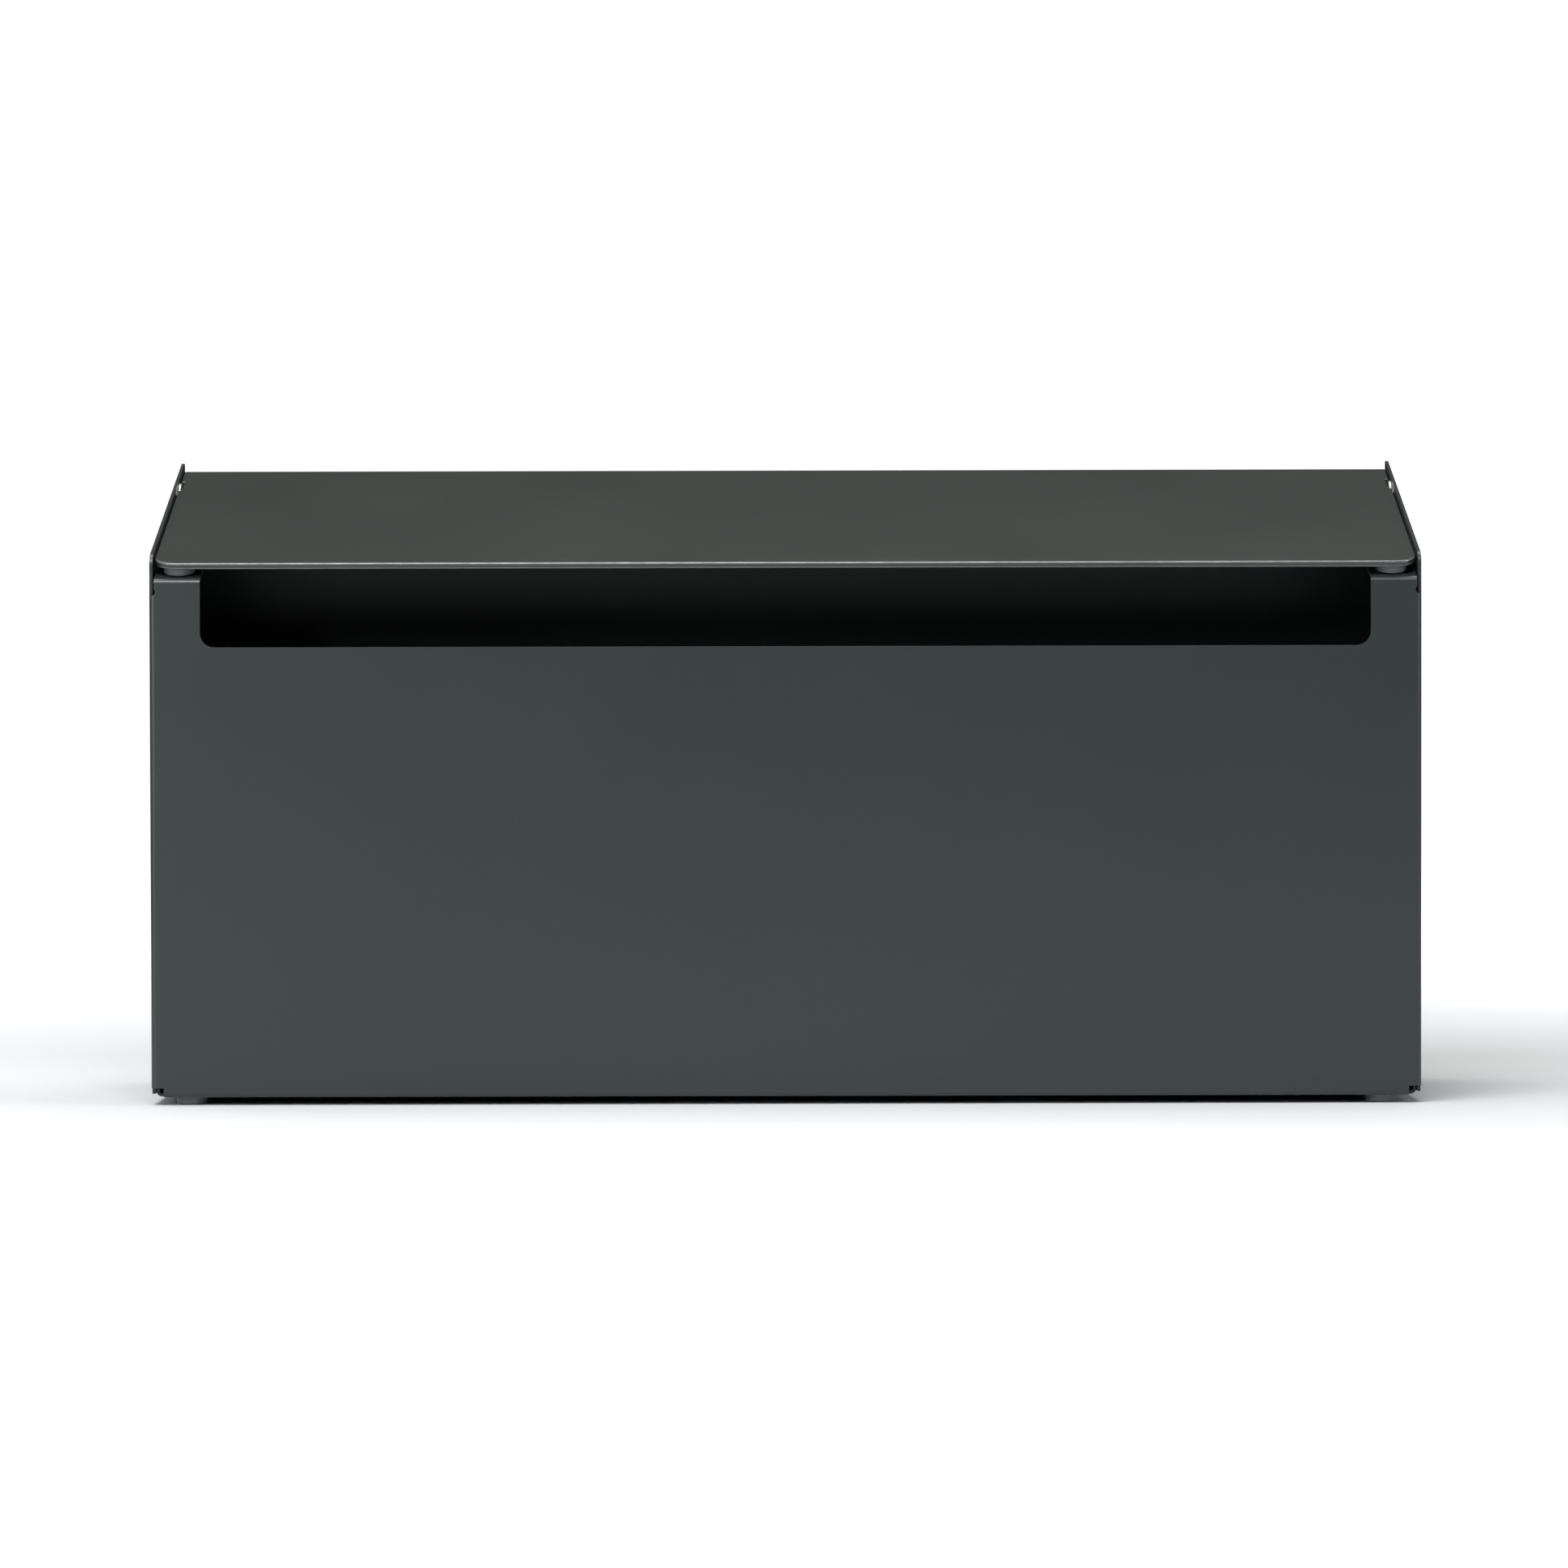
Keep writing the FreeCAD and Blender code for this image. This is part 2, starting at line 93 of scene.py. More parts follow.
front_y = cad_low.y
camera_data = bpy.data.cameras.new("catalogue_camera")
camera_data.sensor_width = CAMERA_SENSOR
camera_data.lens = CAMERA_LENS
camera_data.clip_start = NEAREST_SEEN
camera_data.clip_end = FARTHEST_SEEN
camera = bpy.data.objects.new("catalogue_camera", camera_data)
camera.location = (CAMERA_ASIDE, front_y - CAMERA_AHEAD, CAMERA_HEIGHT)
aim = Matrix.Rotation(math.radians(90) - CAMERA_PITCH, 4, "X")
camera.rotation_euler = (aim @ Matrix.Rotation(CAMERA_ROLL, 4, "Z")).to_euler()
bpy.context.collection.objects.link(camera)
bpy.context.scene.camera = camera
print("camera stands", round(camera.location.z / MM, 1), "mm above the table")

# %% [markdown]
# # The floor
# The box stands on a plain white sheet. Near the box the sheet takes real light and shadow.
# Further away the lights fall off and it would turn grey, so from there on it glows, but only
# for rays from the camera: to the box it stays a sheet of paper, and its light on the steel
# isn't changed. A bigger light would whiten it too, but would flatten the shadows.

# %% Floor that brightens with distance
PAPER = (0.63, 0.64, 0.67, 1)
FLOOR_HALF = 20.0
GLOW_START = 0.3
GLOW_FULL = 1.0


def set_input(shader, **values):
    for name, value in values.items():
        shader.inputs[name.replace("_", " ")].default_value = value


floor_mesh = bmesh.new()
bmesh.ops.create_grid(floor_mesh, x_segments=1, y_segments=1, size=FLOOR_HALF)
floor_data = bpy.data.meshes.new("floor")
floor_mesh.to_mesh(floor_data)
floor_mesh.free()
floor = bpy.data.objects.new("floor", floor_data)
bpy.context.collection.objects.link(floor)

paper = bpy.data.materials.new("white_paper")
paper.use_nodes = True
paper_nodes = paper.node_tree.nodes
paper_links = paper.node_tree.links
paper_shader = paper_nodes["Principled BSDF"]
set_input(paper_shader, Base_Color=PAPER, Roughness=0.9, Specular_IOR_Level=0.1)
set_input(paper_shader, Emission_Color=(1, 1, 1, 1))
floor_place = paper_nodes.new("ShaderNodeTexCoord")
reach = paper_nodes.new("ShaderNodeVectorMath")
reach.operation = "LENGTH"
paper_links.new(floor_place.outputs["Object"], reach.inputs[0])
glow = paper_nodes.new("ShaderNodeMapRange")
glow.interpolation_type = "SMOOTHSTEP"
glow.inputs["From Min"].default_value = GLOW_START
glow.inputs["From Max"].default_value = GLOW_FULL
paper_links.new(reach.outputs["Value"], glow.inputs["Value"])
viewed = paper_nodes.new("ShaderNodeLightPath")
glow_seen = paper_nodes.new("ShaderNodeMath")
glow_seen.operation = "MULTIPLY"
paper_links.new(glow.outputs["Result"], glow_seen.inputs[0])
paper_links.new(viewed.outputs["Is Camera Ray"], glow_seen.inputs[1])
paper_links.new(glow_seen.outputs["Value"], paper_shader.inputs["Emission Strength"])
floor_data.materials.append(paper)
floor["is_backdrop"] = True
print("floor sheet is", floor_data.polygons[0].area, "square metres")

# %% [markdown]
# # The lights
# A softbox hangs overhead, and a brighter one stands in front and high up: together they light
# the lid and draw the bright line along its front rim. A panel to the left of the camera, and
# above it, shows as a soft sheen on the left half of the front, and two narrow softboxes to the
# left and right of the box pick out the upright folds. One helper makes them all. It takes a
# brightness and works out the power from the area, so a box can change size and still look as
# bright.

# %% Softboxes, from their brightness and size
def softbox(name, place, target, width, height, brightness, colour=(1, 1, 1)):
    """Rectangular softbox that faces its target; its power follows from its brightness."""
    data = bpy.data.lights.new(name, "AREA")
    data.shape = "RECTANGLE"
    data.size = width
    data.size_y = height
    data.energy = math.pi * width * height * brightness
    data.color = colour
    box = bpy.data.objects.new(name, data)
    box.location = place
    box.rotation_euler = (Vector(target) - Vector(place)).to_track_quat("-Z", "Y").to_euler()
    bpy.context.collection.objects.link(box)


WARM = (1, 1, 0.94)
middle = (0, 0, 0.1)
softbox("overhead_softbox", (-0.15, 0.25, 1.4), (-0.1, 0, 0), 1.5, 1.1, brightness=3.7, colour=WARM)
softbox("front_softbox", (-0.3, -1.1, 1.45), (0, 0, 0.05), 1.2, 0.8, brightness=9.6)
softbox("sheen_panel", (-1.1, -1.8, 0.72), middle, 1.0, 0.6, brightness=4.2)
softbox("left_softbox", (-1.25, -0.95, 0.6), middle, 0.4, 0.9, brightness=8.0)
softbox("right_softbox", (1.4, -0.6, 0.65), middle, 0.4, 0.9, brightness=8.0)

# %% [markdown]
# # The room
# The room behind the camera is dark, which keeps the inside of the box dark and lets the
# softboxes draw the edges. The backdrop has to look white all the same, so the world's strength
# asks what kind of ray has reached it.

# %% The room: white to look at, nearly dark as a light
ROOM_AS_LIGHT = 0.015
ROOM_AS_BACKDROP = 1.05

room = bpy.data.worlds.new("studio")
room.use_nodes = True
bpy.context.scene.world = room
tree = room.node_tree
background = tree.nodes["Background"]
background.inputs["Color"].default_value = (1, 1, 1, 1)
seen = tree.nodes.new("ShaderNodeLightPath")
level = tree.nodes.new("ShaderNodeMapRange")
level.inputs["To Min"].default_value = ROOM_AS_LIGHT
level.inputs["To Max"].default_value = ROOM_AS_BACKDROP
tree.links.new(seen.outputs["Is Camera Ray"], level.inputs["Value"])
tree.links.new(level.outputs["Result"], background.inputs["Strength"])
bpy.context.scene.view_settings.view_transform = "Standard"
print("room strength, as light and as backdrop:", ROOM_AS_LIGHT, ROOM_AS_BACKDROP)

# %% [markdown]
# # Effects that several finishes share
# A powder coat is melted grains: close up it has the soft dimples of orange peel, about a
# millimetre across, with a finer grit on top, and its gloss is never quite even. An image could
# hold such marks, but noise keeps its true size on every face and needs no unwrapping. A node
# group makes these once, with named inputs, and gives out only colours, masks and heights, so
# each material can set its own strengths and keep its own shader.

# %% Helpers for node trees
NOISE_LOW, NOISE_HIGH = 0.25, 0.75                   # most of a noise lies between these
MIX_FIRST, MIX_SECOND, MIX_RESULT = 6, 7, 2          # colour sockets of a Mix node


def group_tree(name, inputs, outputs):
    tree = bpy.data.node_groups.new(name, "ShaderNodeTree")
    for label, kind, value in inputs:
        socket = tree.interface.new_socket(label, in_out="INPUT", socket_type=kind)
        if value is not None:
            socket.default_value = value
    for label, kind in outputs:
        tree.interface.new_socket(label, in_out="OUTPUT", socket_type=kind)
    return tree, tree.nodes.new("NodeGroupInput"), tree.nodes.new("NodeGroupOutput")


def feed(tree, socket, value):
    """Gives a socket a plain number, or links it to another socket."""
    if isinstance(value, (int, float)):
        socket.default_value = value
    else:
        tree.links.new(value, socket)


def noise(tree, place, scale, detail):
    node = tree.nodes.new("ShaderNodeTexNoise")
    node.inputs["Scale"].default_value = scale
    node.inputs["Detail"].default_value = detail
    tree.links.new(place, node.inputs["Vector"])
    return node.outputs["Fac"]


def math_node(tree, operation, first, second):
    node = tree.nodes.new("ShaderNodeMath")
    node.operation = operation
    feed(tree, node.inputs[0], first)
    feed(tree, node.inputs[1], second)
    return node.outputs["Value"]


def spread(tree, value, low, high):
    """Spreads a noise value over low..high, with nothing cut off."""
    node = tree.nodes.new("ShaderNodeMapRange")
    node.clamp = False
    node.inputs["From Min"].default_value = NOISE_LOW
    node.inputs["From Max"].default_value = NOISE_HIGH
    tree.links.new(value, node.inputs["Value"])
    feed(tree, node.inputs["To Min"], low)
    feed(tree, node.inputs["To Max"], high)
    return node.outputs["Result"]


def mix_colour(tree, factor, first, second):
    """Blends two colours, each given as a socket or as (red, green, blue)."""
    node = tree.nodes.new("ShaderNodeMix")
    node.data_type = "RGBA"
    tree.links.new(factor, node.inputs["Factor"])
    for index, colour in ((MIX_FIRST, first), (MIX_SECOND, second)):
        if isinstance(colour, tuple):
            node.inputs[index].default_value = (*colour, 1)
        else:
            tree.links.new(colour, node.inputs[index])
    return node.outputs[MIX_RESULT]


print("helpers ready")

# %% Node group: powder coat
coat, coat_in, coat_out = group_tree(
    "powder_coat",
    [("Place", "NodeSocketVector", None), ("Colour", "NodeSocketColor", (0.03, 0.03, 0.03, 1)),
     ("Highlight Grey", "NodeSocketColor", (0.32, 0.33, 0.33, 1)), ("Mottle", "NodeSocketFloat", 0.03),
     ("Roughness", "NodeSocketFloat", 0.3), ("Rim", "NodeSocketFloat", 0.0),
     ("Painted Highlight", "NodeSocketFloat", 0.0)],
    [("Colour", "NodeSocketColor"), ("Roughness", "NodeSocketFloat"), ("Painted Bright", "NodeSocketFloat"),
     ("Height", "NodeSocketFloat")])
place = coat_in.outputs["Place"]
rim = coat_in.outputs["Rim"]
mottle = coat_in.outputs["Mottle"]

clouds = noise(coat, place, scale=9.0, detail=0.0)
smears = noise(coat, place, scale=22.0, detail=0.0)
highlight_patches = noise(coat, place, scale=220.0, detail=3.0)
dimples = noise(coat, place, scale=650.0, detail=1.0)
grains = noise(coat, place, scale=2600.0, detail=1.0)
print("powder coat noises, wide to fine: clouds, smears, scuffs, dimples, grains")

# %% Powder coat: colour and painted rim highlight
GRAIN_CONTRAST = 0.03
RIM_PAINTED_HIGHLIGHT = 0.25
PATCHY_LOW, PATCHY_HIGH = 0.6, 1.4

darker = math_node(coat, "SUBTRACT", 1.0, mottle)
lighter = math_node(coat, "ADD", 1.0, mottle)
cloud_shade = spread(coat, clouds, darker, lighter)
grain_shade = spread(coat, grains, 1 - GRAIN_CONTRAST, 1 + GRAIN_CONTRAST)
# rims are painted a quarter lighter: a painted highlight
rim_painted_lighter = math_node(coat, "MULTIPLY", rim, RIM_PAINTED_HIGHLIGHT)
shade = math_node(coat, "ADD", math_node(coat, "MULTIPLY", cloud_shade, grain_shade), rim_painted_lighter)
tint = coat.nodes.new("ShaderNodeVectorMath")
tint.operation = "SCALE"
coat.links.new(coat_in.outputs["Colour"], tint.inputs[0])
coat.links.new(shade, tint.inputs["Scale"])

# rims are painted towards a light metal grey and made metallic in patches: a painted highlight
patchy_highlight = math_node(coat, "MULTIPLY", rim, spread(coat, highlight_patches, PATCHY_LOW, PATCHY_HIGH))
painted_bright = math_node(coat, "MULTIPLY", patchy_highlight, coat_in.outputs["Painted Highlight"])
painted_bright.node.use_clamp = True
bright_rim_colour = mix_colour(coat, painted_bright, tint.outputs["Vector"], coat_in.outputs["Highlight Grey"])
coat.links.new(bright_rim_colour, coat_out.inputs["Colour"])
coat.links.new(painted_bright, coat_out.inputs["Painted Bright"])
print("rims are lighter by", RIM_PAINTED_HIGHLIGHT, "and worn in patches")

# %% Powder coat: gloss and relief
GLOSS_DRIFT = 0.01
RIM_ROUGHNESS_CHANGE = -0.1
PEEL_SHARE = 0.7

gloss_change = spread(coat, smears, -GLOSS_DRIFT, GLOSS_DRIFT)
rim_gloss = math_node(coat, "MULTIPLY", rim, RIM_ROUGHNESS_CHANGE)
gloss = math_node(coat, "ADD", coat_in.outputs["Roughness"], gloss_change)
coat.links.new(math_node(coat, "ADD", gloss, rim_gloss), coat_out.inputs["Roughness"])
peel = math_node(coat, "MULTIPLY", dimples, PEEL_SHARE)
grit = math_node(coat, "MULTIPLY", grains, 1 - PEEL_SHARE)
coat.links.new(math_node(coat, "ADD", peel, grit), coat_out.inputs["Height"])
coat_outputs = [item.name for item in coat.interface.items_tree if item.in_out == "OUTPUT"]
print("coat group outputs:", coat_outputs)

# %% [markdown]
# # The finishes
# Three finishes cover the box. The coated steel is a dielectric with a satin gloss, because
# the paint hides the metal. The hinge washers and pins are bare plated steel, so they are
# metallic, with a slightly uneven gloss. The bumpers and feet are cast polyurethane, matt and
# slightly dusty. The bumpers get a darker copy of the rubber: painted shade for the lid's shadow over
# them.

# %% Material: coated steel
ANTHRACITE = (0.0205, 0.0262, 0.0268)
# the shell's anthracite turned greener for the lid: a painted tint of the light falling on it
LID_LIGHT_TINTED_ANTHRACITE = (0.0222, 0.0264, 0.0248)
COAT_ROUGHNESS = 0.3
COAT_RELIEF = 0.02 * MM


def new_material(name):
    material = bpy.data.materials.new(name)
    material.use_nodes = True
    tree = material.node_tree
    return material, tree, tree.nodes["Principled BSDF"]


def object_place(tree):
    return tree.nodes.new("ShaderNodeTexCoord").outputs["Object"]


def bump(tree, shader, height, distance):
    node = tree.nodes.new("ShaderNodeBump")
    node.inputs["Distance"].default_value = distance
    node.inputs["Strength"].default_value = 1.0
    tree.links.new(height, node.inputs["Height"])
    tree.links.new(node.outputs["Normal"], shader.inputs["Normal"])


def coated_steel(name, colour, highlight_strength):
    """Satin powder coat; highlight_strength says how strongly its rims are painted a metallic grey, a
    painted highlight.
    """
    material, tree, shader = new_material(name)
    layer = tree.nodes.new("ShaderNodeGroup")
    layer.node_tree = coat
    layer.inputs["Colour"].default_value = (*colour, 1)
    layer.inputs["Painted Highlight"].default_value = highlight_strength
    layer.inputs["Roughness"].default_value = COAT_ROUGHNESS
    rim = tree.nodes.new("ShaderNodeAttribute")
    rim.attribute_name = "rim"
    tree.links.new(object_place(tree), layer.inputs["Place"])
    tree.links.new(rim.outputs["Fac"], layer.inputs["Rim"])
    tree.links.new(layer.outputs["Colour"], shader.inputs["Base Color"])
    tree.links.new(layer.outputs["Roughness"], shader.inputs["Roughness"])
    tree.links.new(layer.outputs["Painted Bright"], shader.inputs["Metallic"])
    set_input(shader, IOR=1.5)
    bump(tree, shader, layer.outputs["Height"], COAT_RELIEF)
    return material


# the shell's rims get a faint painted highlight, the lid's front rim a strong one
shell_coat = coated_steel("shell_coat", ANTHRACITE, highlight_strength=0.03)
lid_coat = coated_steel("lid_coat", LID_LIGHT_TINTED_ANTHRACITE, highlight_strength=0.4)
print("coated steel ready, for the shell and for the lid")

# %% Material: plated steel
PLATING = (0.4, 0.4, 0.39, 1)
PLATING_ROUGHNESS = (0.3, 0.45)
FINE_RELIEF = 0.01 * MM


def plated_steel():
    material, tree, shader = new_material("plated_steel")
    set_input(shader, Base_Color=PLATING, Metallic=1.0)
    place = object_place(tree)
    gloss = spread(tree, noise(tree, place, scale=900.0, detail=3.0), *PLATING_ROUGHNESS)
    tree.links.new(gloss, shader.inputs["Roughness"])
    bump(tree, shader, noise(tree, place, scale=2500.0, detail=2.0), FINE_RELIEF)
    return material


plated = plated_steel()
print("plated steel roughness:", PLATING_ROUGHNESS)

# %% Material: cast rubber
DUST_COVER = (0.1, 0.4)
RUBBER_ROUGHNESS = (0.5, 0.65)


def cast_rubber(name, base_tone, dusty):
    material, tree, shader = new_material(name)
    place = object_place(tree)
    dust = spread(tree, noise(tree, place, scale=700.0, detail=4.0), *DUST_COVER)
    tree.links.new(mix_colour(tree, dust, base_tone, dusty), shader.inputs["Base Color"])
    gloss = spread(tree, noise(tree, place, scale=400.0, detail=2.0), *RUBBER_ROUGHNESS)
    tree.links.new(gloss, shader.inputs["Roughness"])
    set_input(shader, Specular_IOR_Level=0.4)
    bump(tree, shader, noise(tree, place, scale=3000.0, detail=2.0), FINE_RELIEF)
    return material


# the bumpers' darker colour is painted shade, for the lid's shadow over them
shaded_bumper_rubber = cast_rubber("shaded_bumper_rubber", base_tone=(0.065, 0.07, 0.08), dusty=(0.1, 0.1, 0.1))
foot_rubber = cast_rubber("foot_rubber", base_tone=(0.2, 0.2, 0.21), dusty=(0.3, 0.3, 0.3))
print("finishes:", [m.name for m in bpy.data.materials if m.users])

# %% [markdown]
# # Folded sheets: shell, back panel and hinge lugs
# The design file already holds the folds, slots and holes, and its sheets are cut square. They
# could be folded again here from flat strips, but a copy keeps every hole where it belongs. On
# the real box the powder flows round each cut edge and leaves it softly rounded, which is what
# catches the light along the slot and the cheeks. So each sheet is copied, its loose triangles
# are joined and flat areas are cleared, and then only the cut edges are bevelled. The new
# narrow faces get an attribute called rim, where the finish adds a painted highlight: a lighter
# shade, and a metal grey in patches.

# %% Helper: add a finished piece
def add_piece(name, mesh, body, material, slot_name, *replaced):
    """Makes an object of a finished mesh, hangs it on the body it rides on and hides the design parts
    it replaces.
    """
    data = bpy.data.meshes.new(name)
    mesh.to_mesh(data)
    mesh.free()
    data.materials.append(material)
    for face in data.polygons:
        face.use_smooth = True
    piece = bpy.data.objects.new(name, data)
    bpy.context.collection.objects.link(piece)
    weighted = piece.modifiers.new("even_normals", "WEIGHTED_NORMAL")
    weighted.keep_sharp = True
    weighted.weight = 100            # large faces decide, so they stay flat beside bevels
    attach(piece, body)
    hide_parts(*replaced)
    return piece


print("piece helper ready")

# %% Round the cut edges of a copied sheet
COAT_RADIUS = 0.38 * MM
COAT_SEGMENTS = 3
FOLD_ANGLE = math.radians(35)        # an edge sharper than this was cut, not folded
FLAT_ANGLE = math.radians(0.5)
SAME_POINT = 0.001 * MM


def ease_edges(mesh, radius, segments):
    """Bevels every edge sharper than a fold, marks the new faces and gives them back."""
    rim = mesh.faces.layers.float.new("rim")
    sharp = [e for e in mesh.edges if e.is_manifold and e.calc_face_angle() > FOLD_ANGLE]
    made = bmesh.ops.bevel(mesh, geom=sharp, offset=radius, segments=segments, profile=0.5,
                           affect="EDGES", clamp_overlap=True, material=-1)
    for face in made["faces"]:
        face[rim] = 1.0
    return made["faces"]


def eased_sheet(node):
    mesh = bmesh.new()
    mesh.from_mesh(nodes[node].data)
    bmesh.ops.remove_doubles(mesh, verts=mesh.verts, dist=SAME_POINT)
    bmesh.ops.dissolve_limit(mesh, angle_limit=FLAT_ANGLE, use_dissolve_boundaries=False,
                             verts=mesh.verts, edges=mesh.edges)
    rims = ease_edges(mesh, COAT_RADIUS, COAT_SEGMENTS)
    print(node, "rim faces:", len(rims), "open edges:", sum(e.is_boundary for e in mesh.edges))
    return mesh


add_piece("shell", eased_sheet("body_shell"), "box", shell_coat, "coated_steel", "body_shell")
add_piece("back", eased_sheet("back_panel"), "box", shell_coat, "coated_steel", "back_panel")
for hand in ("left", "right"):
    lug = "hinge_lug_" + hand
    add_piece("lug_" + hand, eased_sheet(lug), "lid", lid_coat, "coated_steel", lug)

# %% [markdown]
# # Where the lid lies
# The lid is easiest to build flat and then tip into place, as it would be on the bench. Its
# own frame starts at the middle of its front top edge, with one axis up the slope and one
# square to it. The place comes from a bumper, whose top touches the lid's underside.

# %% The lid's frame
LID_SLOPE = math.radians(17.03)
LID_THICKNESS = 2.0 * MM
BUMPER_HEIGHT = 2.5 * MM
up_slope = Vector((0, math.cos(LID_SLOPE), math.sin(LID_SLOPE)))
off_lid = Vector((0, -math.sin(LID_SLOPE), math.cos(LID_SLOPE)))
hinge_line = Vector(frame["joints"][0]["pos_m"])


def centre_of(node):
    low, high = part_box(node)
    return (Vector(low) + Vector(high)) / 2


on_top = centre_of("lid_bumper_right") + off_lid * (BUMPER_HEIGHT / 2 + LID_THICKNESS)
on_top -= up_slope * ((on_top.y - front_y) / up_slope.y)
lid_start = Vector((0, on_top.y, on_top.z))
lid_frame = Matrix.Translation(lid_start) @ Matrix.Rotation(LID_SLOPE, 4, "X")
pivot = hinge_line - lid_start
pivot_run = pivot.dot(up_slope)
pivot_drop = -pivot.dot(off_lid)
print("lid's front top edge, mm:", [round(v / MM, 2) for v in lid_start])
print("pivot, mm up the slope and below the top:", round(pivot_run / MM, 2), round(pivot_drop / MM, 2))

# %% [markdown]
# # The lid plate
# A plate is a flat outline given a thickness. A squashed cube would do for a plain one, but an
# outline takes the notches and the round corners in its stride. It is one face whose front
# corners are rounded by a vertex bevel. It is extruded down by the plate's thickness, and the
# rims are rolled over with a fine bevel. That roll, with a painted highlight on its front part,
# lighter and metal grey, is the bright line along the front edge.
# The small notches at the sides leave room for the hinge washers.

# %% The lid's outline
LID_LENGTH = 108.5 * MM
NOTCH_END_GAP = 0.5 * MM
NOTCH_SIDE_GAP = 0.3 * MM
lid_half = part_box("lid_plate")[1][0]
washer_low, washer_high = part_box("pivot_washer_right")
washer_radius = (washer_high[1] - washer_low[1]) / 2
notch_half = math.sqrt(washer_radius ** 2 - (pivot_drop - LID_THICKNESS) ** 2) + NOTCH_END_GAP
notch_x = washer_low[0] - NOTCH_SIDE_GAP


def half_outline():
    """Right half of the outline, from front to back, with the washer's notch."""
    return [(lid_half, 0), (lid_half, pivot_run - notch_half), (notch_x, pivot_run - notch_half),
            (notch_x, pivot_run + notch_half), (lid_half, pivot_run + notch_half),
            (lid_half, LID_LENGTH)]


print("notch in the lid, mm:", round(2 * notch_half / MM, 2), "by", round((lid_half - notch_x) / MM, 2))

# %% Build the lid flat, then tip it into place
LID_CORNER = 5.0 * MM
LID_CORNER_SEGMENTS = 10
LID_EDGE = 0.8 * MM
LID_EDGE_SEGMENTS = 6
OTHER_RIM_HIGHLIGHT = 0.1                  # rims behind the front corners get a tenth of the painted highlight
DEGENERATE = 0.002 * MM


def lid_plate():
    mesh = bmesh.new()
    right = half_outline()
    around = right + [(-x, run) for x, run in reversed(right)]
    top = mesh.faces.new([mesh.verts.new((x, run, 0)) for x, run in around])
    front = [v for v in top.verts if v.co.y < MM]
    bmesh.ops.bevel(mesh, geom=front, offset=LID_CORNER * math.sqrt(2),
                    segments=LID_CORNER_SEGMENTS, profile=0.5, affect="VERTICES",
                    clamp_overlap=True, material=-1)
    under = bmesh.ops.extrude_face_region(mesh, geom=mesh.faces[:])
    down = [v for v in under["geom"] if isinstance(v, bmesh.types.BMVert)]
    bmesh.ops.translate(mesh, vec=(0, 0, -LID_THICKNESS), verts=down)
    bmesh.ops.recalc_face_normals(mesh, faces=mesh.faces)
    rims = ease_edges(mesh, LID_EDGE, LID_EDGE_SEGMENTS)
    rim = mesh.faces.layers.float["rim"]
    # front rims keep the full painted highlight; rims further back get a tenth of it
    for face in rims:
        if face.calc_center_median().y > LID_CORNER:
            face[rim] = OTHER_RIM_HIGHLIGHT
    bmesh.ops.dissolve_degenerate(mesh, dist=DEGENERATE, edges=mesh.edges)
    bmesh.ops.remove_doubles(mesh, verts=mesh.verts, dist=DEGENERATE)
    print("open edges in the lid:", sum(e.is_boundary for e in mesh.edges))
    bmesh.ops.transform(mesh, matrix=lid_frame, verts=mesh.verts)
    return mesh


lid = add_piece("lid", lid_plate(), "lid", lid_coat, "coated_steel", "lid_plate")
print("lid faces:", len(lid.data.polygons))

# %% [markdown]
# # Turned and cast round pieces
# Washers, pins, rivets, bumpers and feet are all round, so each one is a profile turned about
# an axis, as on a lathe. Stacked cylinders would need joining, and their steps would stay sharp.
# A short list of (radius, height, rounding) points gives the profile, its corners are rounded
# with a vertex bevel, and spin makes the turn. One helper does this and then lays the axis along
# any direction.

# %% Lathe helper
ROUNDING_SEGMENTS = 4


def turned(profile, segments, place, axis):
    """Solid of revolution: (radius, height, rounding) points about an axis through place."""
    mesh = bmesh.new()
    points = [mesh.verts.new((radius, 0, height)) for radius, height, rounding in profile]
    for first, second in zip(points, points[1:]):
        mesh.edges.new((first, second))
    for point, (radius, height, rounding) in zip(points, profile):
        if rounding:
            bmesh.ops.bevel(mesh, geom=[point], offset=rounding, segments=ROUNDING_SEGMENTS,
                            profile=0.5, affect="VERTICES", clamp_overlap=True, material=-1)
    bmesh.ops.spin(mesh, geom=mesh.verts[:] + mesh.edges[:], cent=(0, 0, 0), axis=(0, 0, 1),
                   angle=math.radians(360), steps=segments, use_merge=True)
    bmesh.ops.remove_doubles(mesh, verts=mesh.verts, dist=SAME_POINT)
    bmesh.ops.recalc_face_normals(mesh, faces=mesh.faces)
    lay = Vector(axis).to_track_quat("Z", "Y").to_matrix().to_4x4()
    bmesh.ops.transform(mesh, matrix=Matrix.Translation(place) @ lay, verts=mesh.verts)
    return mesh


print("lathe helper ready")

# %% [markdown]
# # Rubber bumpers and feet
# Both are the same kind of self-adhesive stop: a cast disc with a little draft, a soft lower
# rim, and a thin ring of adhesive film at the top. The bumpers hang square to the sloping lid,
# which is why their lower rims look curved from the front.

# %% Make the bumpers and feet
STOP_SEGMENTS = 64
FILM_THICKNESS = 0.12 * MM
FILM_INSET = 0.25 * MM
CAST_DRAFT = 0.1 * MM
SOFT_RIM = 0.55 * MM
CRISP_RIM = 0.05 * MM


def rubber_stop(radius, height, top, down):
    profile = [(0, 0, 0), (radius - FILM_INSET, 0, 0), (radius - FILM_INSET, FILM_THICKNESS, 0),
               (radius, FILM_THICKNESS, CRISP_RIM), (radius - CAST_DRAFT, height, SOFT_RIM),
               (0, height, 0)]
    return turned(profile, STOP_SEGMENTS, top, down)


